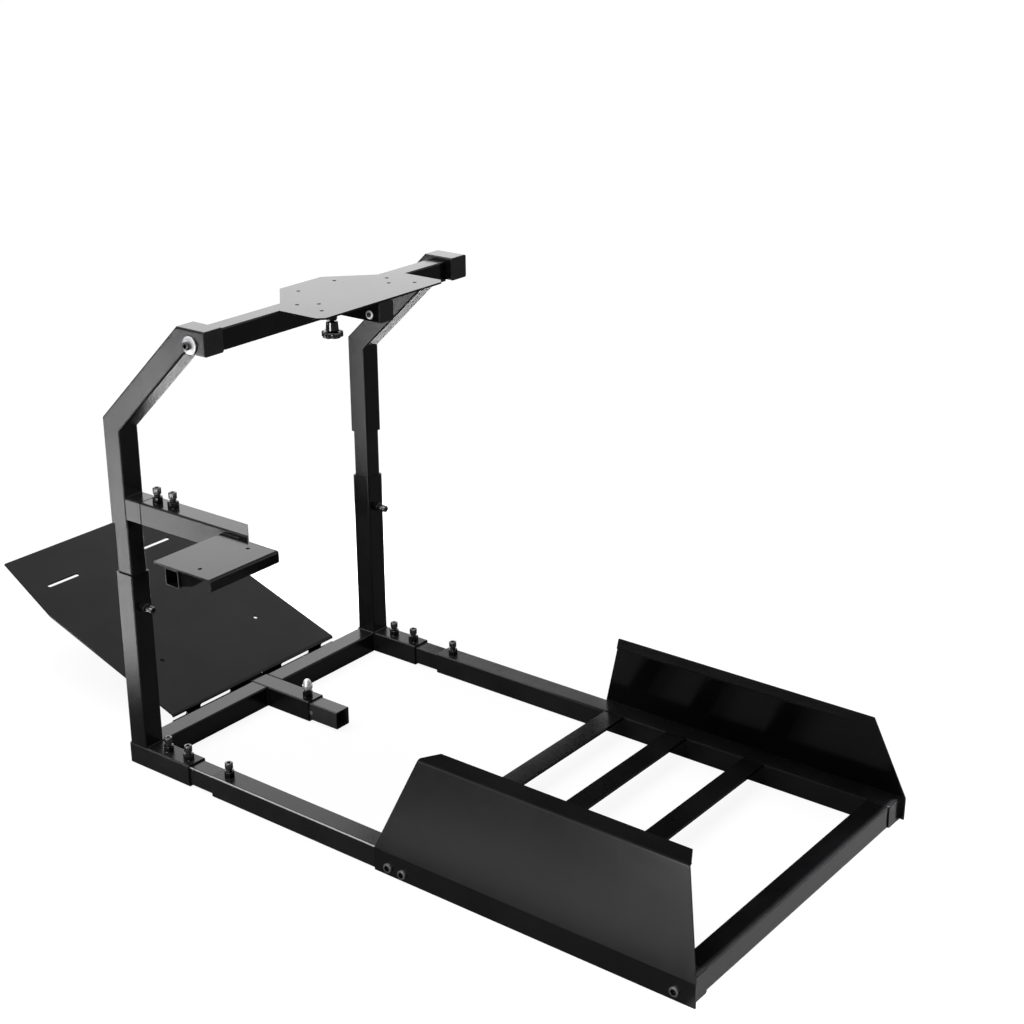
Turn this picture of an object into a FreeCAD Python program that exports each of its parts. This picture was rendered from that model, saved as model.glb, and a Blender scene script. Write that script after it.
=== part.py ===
import FreeCAD, Part
import math
import os
from FreeCAD import Vector

# Sim racing cockpit frame in millimetres: +X right, +Y forward to the pedals, +Z up.
# The origin is on the floor under the middle of the front cross tube.

# Square tube stock
tube = 38.0
tube_wall = 2.5
tube_corner = 3.0
slide_clearance = 0.5
slider_wall = 2.0
small_tube = 28.0
small_wall = 2.0
cap_lip = 2.0
cap_plug = 10.0
cap_clearance = 0.2
seam = 0.5

# Base
frame_width = 605.0
corner_length = 137.5
base_gap = 53.5
rail_length = 905.5
base_slider_in_corner = 80.0
base_slider_in_rail = 220.0

# Seat bars and brackets
seat_bar_first = 393.0
seat_bar_step_middle = 125.0
seat_bar_step_rear = 147.5
seat_bar_width = 38.0
seat_bar_thickness = 5.0
seat_hole_spacing = 62.0
seat_hole_radius = 4.2
bracket_sheet = 2.5
bracket_length = 563.5
bracket_overhang = 9.0
bracket_strip = 37.5
bracket_height = 185.0
bracket_lean = 43.0
bracket_flange = 34.0
bracket_flange_cut = 16.0
bracket_setback_front = 54.0
bracket_setback_rear = 42.0
bracket_bend = 3.0

# Uprights and arms
lower_post_length = 308.0
post_gap = 85.0
post_slider_in_lower = 180.0
post_slider_in_upper = 100.0
upper_post_length = 168.0
arm_run = 172.5
arm_rise = 164.0
head_length = 49.5

# Wheel bar, its tilt bolts, saddle and knob
tilt_setback = 21.5
tilt_drop = 4.55
bar_size = 34.5
bar_wall = 2.0
bar_plug = 8.0
tilt_bolt_radius = 5.0
running_clearance = 0.08
washer_radius = 14.0
washer_thickness = 2.5
bolt_head_radius = 6.5
bolt_head_length = 8.0
bolt_socket_radius = 3.8
bolt_socket_depth = 5.0
seat_gap = 0.3
saddle_length = 44.0
saddle_wall = 2.5
knob_stud_radius = 4.0
knob_drop = 14.5
knob_hub_radius = 10.0
knob_hub_height = 16.0
knob_grip_radius = 17.3
knob_grip_height = 10.0
knob_lobes = 5
knob_scallop_radius = 5.0
knob_skin = 2.0

# Wheel deck
deck_thickness = 3.0
deck_gap = 2.3
deck_half_width = 145.0
deck_front_half_width = 47.5
deck_front_reach = 65.0
deck_side_setback = 30.5
deck_rear_reach = 115.0
deck_corner_cut = 10.0
deck_hole_radius = 3.3
deck_hole_pairs = ((83.0, 30.0), (208.0, -27.0), (162.0, -51.0), (216.0, -82.0))
deck_tube = 32.0
deck_tube_wall = 2.0
deck_tube_front = 45.0
deck_tube_rear = 114.4

# Pedal slide and plate
receiver_length = 136.0
pedal_tube_rear = 63.0
pedal_tube_front = 311.0
pedal_angle = 18.2
pedal_sheet = 3.0
pedal_bend = 2.0
pedal_half_width = 200.0
pedal_length = 491.0
pedal_taper_length = 165.0
pedal_front_half_width = 172.0
pedal_fold_height = 43.0
pedal_lip_gap = 7.5
pedal_lip_height = 18.0
pedal_hole_spacing = 232.0
pedal_hole_place = 121.0
pedal_hole_radius = 4.2
pedal_slot_place = 396.0
pedal_slot_middle = 112.0
pedal_slot_length = 72.0
pedal_slot_width = 8.0
lip_slot_middle = 100.0
lip_slot_length = 74.0
lip_slot_width = 7.0
lip_slot_drop = 8.0
lip_notch_length = 32.0
lip_hole_place = 15.0
lip_hole_radius = 2.0
lip_hole_drop = 3.5
gusset_sheet = 4.0
gusset_spacing = 24.0
gusset_front = 296.0
gusset_rear = 8.0

# Shifter mount
stub_lift = 11.5
stub_length = 33.0
stub_gap = 2.0
shifter_slider_reach = 152.0
shifter_arm_length = 217.5
shifter_plate_width = 137.5
shifter_plate_length = 118.0
shifter_plate_sheet = 3.0
shifter_plate_bend = 1.0
shifter_plate_front = 182.0
shifter_lip_height = 20.0
shifter_return = 6.0
shifter_tube_setback = 23.0
shifter_hole_spacing = 96.0
shifter_hole_place = 75.0
shifter_hole_radius = 3.3
shifter_gusset_sheet = 4.0
shifter_gusset_inset = 4.0
shifter_gusset_length = 53.0
shifter_gusset_knee = 24.0
shifter_gusset_knee_drop = 19.0

# Derived sizes
half_tube = tube / 2
slider = tube - 2 * (tube_wall + slide_clearance)
half_slider = slider / 2
slider_corner = tube_corner - slide_clearance
side_x = frame_width / 2 - half_tube
inner_x = frame_width / 2 - tube
base_z = half_tube
corner_rear = half_tube - corner_length
rail_front = corner_rear - base_gap
rail_rear = rail_front - rail_length
lower_post_top = tube + lower_post_length
upper_post_bottom = lower_post_top + post_gap
bend_z = upper_post_bottom + upper_post_length
head_z = bend_z + arm_rise
head_y = -arm_run
head_rear = head_y - head_length
tilt_y = head_y - tilt_setback
tilt_z = head_z - tilt_drop
deck_bottom = tilt_z + bar_size / 2 + deck_gap
deck_tube_z = deck_bottom - deck_tube / 2
saddle_half_width = deck_tube / 2 + slide_clearance + saddle_wall
saddle_floor = deck_bottom - deck_tube - slide_clearance
stub_z = upper_post_bottom + stub_lift + half_tube
pedal_fold_y = half_tube + pedal_lip_gap

axis_x = Vector(1, 0, 0)
axis_y = Vector(0, 1, 0)
axis_z = Vector(0, 0, 1)
sides = (("left", -1), ("right", 1))


def save(name, *solids):
    shape = solids[0] if len(solids) == 1 else Part.makeCompound(list(solids))
    shape.exportStep("parts/" + name + ".step")


def block(low, high):
    size = Vector(*high) - Vector(*low)
    return Part.makeBox(size.x, size.y, size.z, Vector(*low))


def prism(points, along):
    return Part.Face(Part.makePolygon(points + points[:1])).extrude(along)


def rounded_square(centre, u, v, size, radius):
    half = size / 2
    flat = half - radius
    bulge = flat + radius * math.sqrt(0.5)
    edges = []
    for turn in range(4):
        a, b = ((u, v), (v, u * -1), (u * -1, v * -1), (v * -1, u))[turn]
        start = centre + a * half - b * flat
        end = centre + a * half + b * flat
        edges.append(Part.LineSegment(start, end).toShape())
        corner_end = centre + a * flat + b * half
        edges.append(Part.Arc(end, centre + a * bulge + b * bulge, corner_end).toShape())
    return Part.Wire(edges)


def sharp_square(centre, u, v, size):
    half = size / 2
    corners = [centre + u * a * half + v * b * half for a, b in ((1, 1), (-1, 1), (-1, -1), (1, -1))]
    return Part.makePolygon(corners + corners[:1])


def square_tube(start, end, size=tube, wall=tube_wall, corner=tube_corner):
    along = end - start
    u = axis_x if abs(along.x) < 1e-6 else axis_y
    v = along.cross(u).normalize()
    outer = Part.Face(rounded_square(start, u, v, size, corner)).extrude(along)
    inner = Part.Face(sharp_square(start, u, v, size - 2 * wall)).extrude(along)
    return outer.cut(inner)


def slider_tube(start, end):
    return square_tube(start, end, slider, slider_wall, slider_corner)


def trim(solid, point, normal):
    reach = 4 * tube
    cutter = Part.makeBox(2 * reach, 2 * reach, reach, Vector(-reach, -reach, 0))
    cutter.Placement = FreeCAD.Placement(point, FreeCAD.Rotation(axis_z, normal))
    return solid.cut(cutter)


def mitred_tubes(points):
    solids = []
    last = len(points) - 2
    for index, (start, end) in enumerate(zip(points, points[1:])):
        along = (end - start).normalize()
        spare_start = along * (tube if index else 0)
        spare_end = along * (tube if index < last else 0)
        solid = square_tube(start - spare_start, end + spare_end)
        if index:
            before = (start - points[index - 1]).normalize()
            solid = trim(solid, start, (along + before) * -1)
        if index < last:
            after = (points[index + 2] - end).normalize()
            solid = trim(solid, end, along + after)
        solids.append(solid)
    return solids


def end_cap(centre, outward, size=tube, wall=tube_wall, corner=tube_corner):
    u = axis_x
    v = outward.cross(u)
    lip = Part.Face(rounded_square(centre, u, v, size, corner)).extrude(outward * cap_lip)
    plug_size = size - 2 * (wall + cap_clearance)
    plug = Part.Face(sharp_square(centre, u, v, plug_size)).extrude(outward * -cap_plug)
    return lip.fuse(plug).removeSplitter()


def fillet_edge(solid, axis, corner, radius):
    # Rounds the edge that runs along the axis through the corner.
    flat = corner - axis * corner.dot(axis)
    chosen = []
    for edge in solid.Edges:
        ends = [v.Point - axis * v.Point.dot(axis) for v in edge.Vertexes]
        if len(ends) == 2 and all(end.distanceToPoint(flat) < 0.01 for end in ends):
            chosen.append(edge)
    return solid.makeFillet(radius, chosen)


def folded_sheet(path, axis, width, sheet, bend):
    # The path is the sheet's outer side, which bends the same way at each fold.
    runs = [(end - start).normalize() for start, end in zip(path, path[1:])]
    hand = 1 if runs[0].cross(runs[1]).dot(axis) > 0 else -1
    inward = [axis.cross(run) * hand for run in runs]
    inner = [path[0] + inward[0] * sheet]
    for corner, before, after in zip(path[1:], inward, inward[1:]):
        inner.append(corner + (before + after) * (sheet / (1 + before.dot(after))))
    inner.append(path[-1] + inward[-1] * sheet)
    solid = prism(path + inner[::-1], axis * width)
    for outer_corner, inner_corner in zip(path[1:-1], inner[1:-1]):
        solid = fillet_edge(solid, axis, outer_corner, bend + sheet)
        solid = fillet_edge(solid, axis, inner_corner, bend)
    return solid


def slot(centre, length, width, along, normal, depth):
    across = normal.cross(along)
    reach = (length - width) / 2
    radius = width / 2
    a, b = centre - along * reach, centre + along * reach
    edges = [
        Part.LineSegment(a + across * radius, b + across * radius).toShape(),
        Part.Arc(b + across * radius, b + along * radius, b - across * radius).toShape(),
        Part.LineSegment(b - across * radius, a - across * radius).toShape(),
        Part.Arc(a - across * radius, a - along * radius, a + across * radius).toShape(),
    ]
    outline = Part.Face(Part.Wire(edges))
    outline.translate(normal * -depth)
    return outline.extrude(normal * 2 * depth)


def drill(centre, normal, radius, depth):
    return Part.makeCylinder(radius, 2 * depth, centre - normal * depth, normal)


def make_base():
    for side, sign in sides:
        x = sign * side_x
        corner_front = Vector(x, half_tube, base_z)
        save("corner_tube_" + side, square_tube(corner_front, Vector(x, corner_rear, base_z)))
        slider_front = Vector(x, corner_rear + base_slider_in_corner, base_z)
        slider_rear = Vector(x, rail_front - base_slider_in_rail, base_z)
        save("base_slider_" + side, slider_tube(slider_front, slider_rear))
        rail_end = Vector(x, rail_rear, base_z)
        save("side_rail_" + side, square_tube(Vector(x, rail_front, base_z), rail_end))
        cross_start = Vector(sign * half_tube, 0, base_z)
        save("front_cross_" + side, square_tube(cross_start, Vector(sign * inner_x, 0, base_z)))
    corners = [end_cap(Vector(sign * side_x, half_tube, base_z), axis_y) for side, sign in sides]
    save("corner_caps", *corners)
    rails = [end_cap(Vector(sign * side_x, rail_rear, base_z), axis_y * -1) for side, sign in sides]
    save("rail_caps", *rails)
    rear_y = rail_rear + half_tube
    save("rear_cross", square_tube(Vector(-inner_x, rear_y, base_z), Vector(inner_x, rear_y, base_z)))
    receiver_rear = Vector(0, half_tube - receiver_length, base_z)
    save("pedal_receiver", square_tube(Vector(0, half_tube, base_z), receiver_rear))


def make_seat_bars():
    steps = (seat_bar_first, seat_bar_step_middle, seat_bar_step_rear)
    y = rail_front
    for name, step in zip(("front", "middle", "rear"), steps):
        y -= step
        low = (-inner_x, y - seat_bar_width / 2, tube - seat_bar_thickness)
        bar = block(low, (inner_x, y + seat_bar_width / 2, tube))
        if name == "rear":
            for sign in (-1, 1):
                centre = Vector(sign * seat_hole_spacing / 2, y, tube)
                bar = bar.cut(drill(centre, axis_z, seat_hole_radius, 2 * seat_bar_thickness))
        save("seat_bar_" + name, bar)


def make_bracket(side, sign):
    # A folded sheet: a strip bolted to the rail, a leaning panel and a flange along its top.
    outer = frame_width / 2 + bracket_sheet
    top = outer - bracket_lean
    rear = rail_rear - bracket_overhang
    front = rear + bracket_length
    path = [
        Vector(outer, rear, 0), Vector(outer, rear, bracket_strip),
        Vector(top, rear, bracket_height), Vector(top - bracket_flange, rear, bracket_height),
    ]
    solid = folded_sheet(path, axis_y, bracket_length, bracket_sheet, bracket_bend)
    side_outline = [
        Vector(0, rear, 0), Vector(0, front, 0), Vector(0, front, bracket_strip),
        Vector(0, front - bracket_setback_front, bracket_height),
        Vector(0, rear + bracket_setback_rear, bracket_height), Vector(0, rear, bracket_strip),
    ]
    solid = solid.common(prism(side_outline, axis_x * 2 * outer))
    fold_end = top - bracket_bend - bracket_sheet
    inner_edge = top - bracket_flange
    flange_ends = ((front - bracket_setback_front, -1), (rear + bracket_setback_rear, 1))
    for end, inward in flange_ends:
        beyond = end - inward * bracket_flange_cut
        corner = [
            Vector(fold_end, end, 0), Vector(fold_end, beyond, 0), Vector(inner_edge, beyond, 0),
            Vector(inner_edge, end + inward * bracket_flange_cut, 0),
        ]
        solid = solid.cut(prism(corner, axis_z * 2 * bracket_height))
    if sign < 0:
        solid = solid.mirror(Vector(0, 0, 0), axis_x)
    save("seat_bracket_" + side, solid)


def make_uprights():
    hole_reach = 2 * tube
    caps = []
    for side, sign in sides:
        x = sign * side_x
        foot = Vector(x, 0, tube)
        save("lower_post_" + side, square_tube(foot, Vector(x, 0, lower_post_top)))
        slider_low = Vector(x, 0, lower_post_top - post_slider_in_lower)
        slider_high = Vector(x, 0, upper_post_bottom + post_slider_in_upper)
        save("post_slider_" + side, slider_tube(slider_low, slider_high))
        path = [
            Vector(x, 0, upper_post_bottom), Vector(x, 0, bend_z),
            Vector(x, head_y, head_z), Vector(x, head_rear, head_z),
        ]
        post, arm, head = mitred_tubes(path)
        save("upper_post_" + side, post)
        save("slant_arm_" + side, arm)
        pivot = Vector(x, tilt_y, tilt_z)
        head = head.cut(drill(pivot, axis_x, tilt_bolt_radius + running_clearance, hole_reach))
        save("arm_head_" + side, head)
        caps.append(end_cap(Vector(x, head_rear, head_z), axis_y * -1))
    save("head_caps", *caps)


def make_tilt_bolt(sign):
    face = frame_width / 2 + seat_gap
    shank = face - (inner_x - seam - bar_plug)
    direction = axis_x * sign
    place = Vector(sign * face, tilt_y, tilt_z)
    bolt = Part.makeCylinder(washer_radius, washer_thickness, place, direction)
    bolt = bolt.fuse(Part.makeCylinder(tilt_bolt_radius, shank, place, direction * -1))
    head_place = place + direction * washer_thickness
    bolt = bolt.fuse(Part.makeCylinder(bolt_head_radius, bolt_head_length, head_place, direction))
    points = []
    for corner in range(6):
        angle = corner * math.pi / 3
        points.append(Vector(0, math.cos(angle), math.sin(angle)) * bolt_socket_radius)
    socket_floor = head_place + direction * (bolt_head_length - bolt_socket_depth)
    socket = prism([p + socket_floor for p in points], direction * bolt_socket_depth)
    return bolt.cut(socket).removeSplitter()


def make_wheel_bar():
    hole = tilt_bolt_radius + running_clearance
    end = inner_x - seam
    for side, sign in sides:
        start = Vector(sign * saddle_half_width, tilt_y, tilt_z)
        finish = Vector(sign * end, tilt_y, tilt_z)
        bar = square_tube(start, finish, bar_size, bar_wall, slider_corner)
        inside = bar_size - 2 * bar_wall
        plug_face = Part.Face(sharp_square(finish, axis_y, axis_z, inside))
        bar = bar.fuse(plug_face.extrude(axis_x * -sign * bar_plug)).removeSplitter()
        save("wheel_bar_" + side, bar.cut(drill(finish, axis_x, hole, 2 * bar_plug)))
    save("tilt_bolts", *[make_tilt_bolt(sign) for side, sign in sides])
    half = saddle_length / 2
    floor_bottom = saddle_floor - saddle_wall
    low = (-saddle_half_width, tilt_y - half, floor_bottom)
    saddle = block(low, (saddle_half_width, tilt_y + half, deck_bottom - seat_gap))
    channel = saddle_half_width - saddle_wall
    trough_low = (-channel, tilt_y - saddle_length, saddle_floor)
    saddle = saddle.cut(block(trough_low, (channel, tilt_y + saddle_length, deck_bottom)))
    screw = Vector(0, tilt_y, saddle_floor)
    saddle = saddle.cut(drill(screw, axis_z, knob_stud_radius + running_clearance, 2 * saddle_wall))
    save("deck_saddle", saddle)


def make_knob():
    stud_top = saddle_floor + slide_clearance - seat_gap
    hub_top = saddle_floor - saddle_wall - knob_drop
    grip_top = hub_top - knob_hub_height
    grip_bottom = grip_top - knob_grip_height
    stud_bottom = grip_bottom + knob_skin
    stud = Part.makeCylinder(knob_stud_radius, stud_top - stud_bottom, Vector(0, tilt_y, stud_bottom))
    hub = Part.makeCylinder(knob_hub_radius, knob_hub_height, Vector(0, tilt_y, grip_top))
    grip = Part.makeCylinder(knob_grip_radius, knob_grip_height, Vector(0, tilt_y, grip_bottom))
    for lobe in range(knob_lobes):
        angle = 2 * math.pi * (lobe + 0.5) / knob_lobes
        reach = knob_grip_radius + knob_scallop_radius / 2
        centre = Vector(reach * math.cos(angle), tilt_y + reach * math.sin(angle), grip_bottom)
        grip = grip.cut(Part.makeCylinder(knob_scallop_radius, knob_grip_height, centre))
    save("deck_knob", stud.fuse([hub, grip]).removeSplitter())


def make_wheel_deck():
    front = tilt_y + deck_front_reach
    side_corner = tilt_y - deck_side_setback
    rear = tilt_y - deck_rear_reach
    half = [
        (deck_front_half_width, front), (deck_half_width, side_corner),
        (deck_half_width, rear + deck_corner_cut), (deck_half_width - deck_corner_cut, rear),
    ]
    outline = half + [(-x, y) for x, y in reversed(half)]
    plate = prism([Vector(x, y, deck_bottom) for x, y in outline], axis_z * deck_thickness)
    for spacing, offset in deck_hole_pairs:
        for sign in (-1, 1):
            centre = Vector(sign * spacing / 2, tilt_y + offset, deck_bottom)
            plate = plate.cut(drill(centre, axis_z, deck_hole_radius, 2 * deck_thickness))
    save("wheel_deck", plate)
    tube_front = Vector(0, tilt_y + deck_tube_front, deck_tube_z)
    tube_rear = Vector(0, tilt_y - deck_tube_rear, deck_tube_z)
    save("deck_tube", square_tube(tube_front, tube_rear, deck_tube, deck_tube_wall, tube_corner))
    save("deck_tube_cap", end_cap(tube_rear, axis_y * -1, deck_tube, deck_tube_wall))


def make_pedals():
    tube_rear = half_tube - receiver_length - pedal_tube_rear
    tube_front = half_tube + pedal_tube_front
    save("pedal_tube", slider_tube(Vector(0, tube_rear, base_z), Vector(0, tube_front, base_z)))
    slope = math.radians(pedal_angle)
    along = Vector(0, math.cos(slope), math.sin(slope))
    up = Vector(0, -math.sin(slope), math.cos(slope))
    fold = Vector(0, pedal_fold_y, pedal_fold_height)
    left = axis_x * -pedal_half_width
    path = [fold - axis_z * pedal_lip_height, fold, fold + along * pedal_length]
    path = [point + left for point in path]
    plate = folded_sheet(path, axis_x, 2 * pedal_half_width, pedal_sheet, pedal_bend)
    for sign in (-1, 1):
        side = axis_x * sign
        edge = fold + side * pedal_half_width
        taper = [
            edge + along * (pedal_length - pedal_taper_length),
            fold + side * pedal_front_half_width + along * pedal_length, edge + along * pedal_length,
        ]
        plate = plate.cut(prism([p - up * 2 * pedal_sheet for p in taper], up * 4 * pedal_sheet))
        hole = fold + side * pedal_hole_spacing / 2 + along * pedal_hole_place
        plate = plate.cut(drill(hole, up, pedal_hole_radius, 2 * pedal_sheet))
        middle = fold + side * pedal_slot_middle + along * pedal_slot_place
        plate = plate.cut(slot(middle, pedal_slot_length, pedal_slot_width, axis_x, up, 2 * pedal_sheet))
        lip_middle = fold - axis_z * lip_slot_drop
        places = ((lip_slot_middle, lip_slot_length), (pedal_half_width, 2 * lip_notch_length))
        for place, length in places:
            cutter = slot(lip_middle + side * place, length, lip_slot_width, axis_x, axis_y, 2 * pedal_sheet)
            plate = plate.cut(cutter)
    lip_hole = fold + axis_x * lip_hole_place - axis_z * lip_hole_drop
    plate = plate.cut(drill(lip_hole, axis_y, lip_hole_radius, 2 * pedal_sheet))
    notch_top = base_z + half_slider
    notch = half_slider + seat_gap
    plate = plate.cut(block((-notch, half_tube, 0), (notch, pedal_fold_y + 2 * pedal_sheet, notch_top)))
    save("pedal_plate", plate)
    under = fold - up * pedal_sheet
    web = []
    for place in (gusset_rear, gusset_front):
        y = pedal_fold_y + place
        web.append((y, under.z + (y - under.y) * math.tan(slope)))
    foot_z = base_z + half_slider
    gussets = []
    for sign in (-1, 1):
        x = sign * gusset_spacing / 2 - gusset_sheet / 2
        points = [Vector(x, y, foot_z) for y, z in web] + [Vector(x, y, z) for y, z in reversed(web)]
        gussets.append(prism(points, axis_x * gusset_sheet))
    save("pedal_gussets", *gussets)


def make_shifter():
    x = -side_x
    stub_rear = -half_tube - stub_length
    save("shifter_stub", square_tube(Vector(x, -half_tube, stub_z), Vector(x, stub_rear, stub_z)))
    slider_end = Vector(x, stub_rear - shifter_slider_reach, stub_z)
    save("shifter_slider", slider_tube(Vector(x, -half_tube, stub_z), slider_end))
    arm_front = stub_rear - stub_gap
    arm_rear = arm_front - shifter_arm_length
    arm = square_tube(Vector(x, arm_front, stub_z), Vector(x, arm_rear - tube, stub_z))
    save("shifter_arm", trim(arm, Vector(x, arm_rear, stub_z), Vector(1, -1, 0)))
    outer = -frame_width / 2 - shifter_plate_width
    arm_face = -frame_width / 2
    tube_bottom = stub_z - half_tube
    plate_bottom = tube_bottom + small_tube
    plate_top = plate_bottom + shifter_plate_sheet
    front = arm_front - shifter_plate_front
    rear = front - shifter_plate_length
    lip_bottom = plate_top - shifter_lip_height
    sheet = shifter_plate_sheet
    path = [
        Vector(outer, front, plate_top), Vector(outer, rear, plate_top),
        Vector(outer, rear, lip_bottom), Vector(outer, rear + shifter_return, lip_bottom),
    ]
    plate = folded_sheet(path, axis_x, shifter_plate_width, sheet, shifter_plate_bend)
    for sign in (-1, 1):
        hole_x = (outer + arm_face) / 2 + sign * shifter_hole_spacing / 2
        hole = Vector(hole_x, front - shifter_hole_place, plate_top)
        plate = plate.cut(drill(hole, axis_z, shifter_hole_radius, 2 * sheet))
    save("shifter_plate", plate)
    cross_y = front - shifter_tube_setback - small_tube / 2
    cross_z = tube_bottom + small_tube / 2
    cross = (Vector(arm_face, cross_y, cross_z), Vector(outer, cross_y, cross_z))
    save("shifter_cross", square_tube(*cross, small_tube, small_wall, tube_corner))
    tube_back = cross_y - small_tube / 2
    web = [
        (tube_back, plate_bottom), (tube_back - shifter_gusset_length, plate_bottom),
        (tube_back - shifter_gusset_knee, plate_bottom - shifter_gusset_knee_drop),
        (tube_back, tube_bottom + tube_corner),
    ]
    gusset_x = outer + shifter_gusset_inset
    gusset = prism([Vector(gusset_x, y, z) for y, z in web], axis_x * shifter_gusset_sheet)
    save("shifter_gusset", gusset)


os.makedirs("parts", exist_ok=True)
make_base()
make_seat_bars()
for side, sign in sides:
    make_bracket(side, sign)
make_uprights()
make_wheel_bar()
make_knob()
make_wheel_deck()
make_pedals()
make_shifter()
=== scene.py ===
import math

import bmesh
import bpy
from mathutils import Matrix, Quaternion, Vector


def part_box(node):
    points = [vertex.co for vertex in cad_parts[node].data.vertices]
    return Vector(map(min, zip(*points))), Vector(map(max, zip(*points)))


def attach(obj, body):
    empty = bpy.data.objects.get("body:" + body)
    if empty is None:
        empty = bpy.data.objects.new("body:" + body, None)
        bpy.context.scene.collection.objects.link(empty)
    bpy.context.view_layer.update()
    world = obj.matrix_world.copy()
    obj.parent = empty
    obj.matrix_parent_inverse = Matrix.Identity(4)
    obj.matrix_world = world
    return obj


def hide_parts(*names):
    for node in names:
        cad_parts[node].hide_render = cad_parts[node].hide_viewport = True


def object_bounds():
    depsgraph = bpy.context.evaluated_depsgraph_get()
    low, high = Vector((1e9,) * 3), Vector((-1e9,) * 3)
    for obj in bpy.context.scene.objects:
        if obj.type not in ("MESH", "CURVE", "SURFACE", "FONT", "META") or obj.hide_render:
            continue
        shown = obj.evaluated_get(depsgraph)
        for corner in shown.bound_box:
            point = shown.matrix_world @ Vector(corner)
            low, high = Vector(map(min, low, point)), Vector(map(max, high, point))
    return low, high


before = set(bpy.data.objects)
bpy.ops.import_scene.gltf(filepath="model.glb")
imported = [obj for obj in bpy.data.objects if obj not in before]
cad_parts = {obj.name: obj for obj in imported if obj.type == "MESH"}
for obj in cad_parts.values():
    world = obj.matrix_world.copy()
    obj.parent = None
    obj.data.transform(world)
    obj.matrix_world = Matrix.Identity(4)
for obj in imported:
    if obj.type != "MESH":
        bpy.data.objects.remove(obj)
cadLow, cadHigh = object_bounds()
print("frame loaded with", len(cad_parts), "nodes")


def addNode(tree, kind, **settings):
    node = tree.nodes.new("ShaderNode" + kind)
    for key, value in settings.items():
        if hasattr(node, key):
            setattr(node, key, value)
        else:
            node.inputs[key].default_value = value
    return node


def emptyMaterial(name):
    material = bpy.data.materials.new(name)
    material.use_nodes = True
    material.node_tree.nodes.clear()
    return material, material.node_tree


def newMaterial(name):
    material, tree = emptyMaterial(name)
    shader = addNode(tree, "BsdfPrincipled")
    output = addNode(tree, "OutputMaterial")
    tree.links.new(shader.outputs["BSDF"], output.inputs["Surface"])
    place = addNode(tree, "TexCoord")
    return material, tree, shader, place.outputs["Object"]


noiseBand = (0.3, 0.7)  # the middle of a noise, where most of its values lie
bumpStrength = 0.5


def noise(tree, place, scale, detail, roughness=0.5):
    node = addNode(tree, "TexNoise", Scale=scale, Detail=detail, Roughness=roughness)
    tree.links.new(place, node.inputs["Vector"])
    return node.outputs["Fac"]


def mapRange(tree, value, start, stop, low=0, high=1):
    node = addNode(tree, "MapRange")
    for key, number in (("From Min", start), ("From Max", stop), ("To Min", low), ("To Max", high)):
        node.inputs[key].default_value = number
    tree.links.new(value, node.inputs["Value"])
    return node.outputs["Result"]


def tint(tree, value, dark, light):
    ramp = addNode(tree, "ValToRGB")
    for stop, position, colour in zip(ramp.color_ramp.elements, noiseBand, (dark, light)):
        stop.position = position
        stop.color = (*colour, 1)
    tree.links.new(value, ramp.inputs["Fac"])
    return ramp.outputs["Color"]


def roughen(tree, shader, height, depth):
    bump = addNode(tree, "Bump", Strength=bumpStrength, Distance=depth)
    tree.links.new(height, bump.inputs["Height"])
    tree.links.new(bump.outputs["Normal"], shader.inputs["Normal"])


# black powder coat: near black, with fine orange peel and a slow cloud in its gloss
tubePaint = {"dark": (0.004, 0.004, 0.0044), "light": (0.009, 0.009, 0.0098), "rough": (0.14, 0.2),
             "index": 1.42, "cloudScale": 14, "peelScale": 620, "peelDepth": 0.00004}
sheetPaint = {"dark": (0.004, 0.004, 0.0043), "light": (0.008, 0.008, 0.0086), "rough": (0.17, 0.2),
              "index": 1.42, "cloudScale": 9, "peelScale": 820, "peelDepth": 0.00008}
# the rails' paint is duller, and has a painted highlight on the outer top edge: a light grey line where |x| +
# z is greatest;
# the painted highlight band is measured from that sum at the sharp corner
edgeHighlightColour = (0.48, 0.48, 0.49)
railPaint = {"dark": (0.006, 0.006, 0.0066), "light": (0.012, 0.012, 0.013), "rough": (0.26, 0.34),
             "index": 1.42, "cloudScale": 14, "peelScale": 620, "peelDepth": 0.0001,
             "edgeHighlight": {"node": "side_rail_left", "from": -0.0022, "to": -0.0019}}
cornerPaint = {key: value for key, value in railPaint.items() if key != "edgeHighlight"}
# the telescoping tubes carry faint drag lines from sliding
slideAlong = {"y": (420, 1.2, 420), "z": (420, 420, 1.2)}
slidePaint = {"dark": (0.006, 0.006, 0.0066), "light": (0.014, 0.014, 0.015), "rough": (0.16, 0.24),
              "index": 1.42, "cloudScale": 14, "peelScale": 620, "peelDepth": 0.00008, "rub": 0.05}
# the base sliders carry the same painted highlight line along their outer top edge
baseSlidePaint = {**slidePaint, "edgeHighlight": {"node": "base_slider_left", "from": -0.00183, "to": -0.00158}}
pedalTubePaint = {**slidePaint, "dark": (0.03, 0.03, 0.032), "light": (0.055, 0.055, 0.057)}
# thin dull spray on the web under the shifter plate and on what hangs under the wheel deck
dullPaint = {"dark": (0.004, 0.004, 0.0044), "light": (0.007, 0.007, 0.0075), "rough": (0.55, 0.65),
             "index": 1.05, "cloudScale": 14, "peelScale": 620, "peelDepth": 0.00008}


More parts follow.
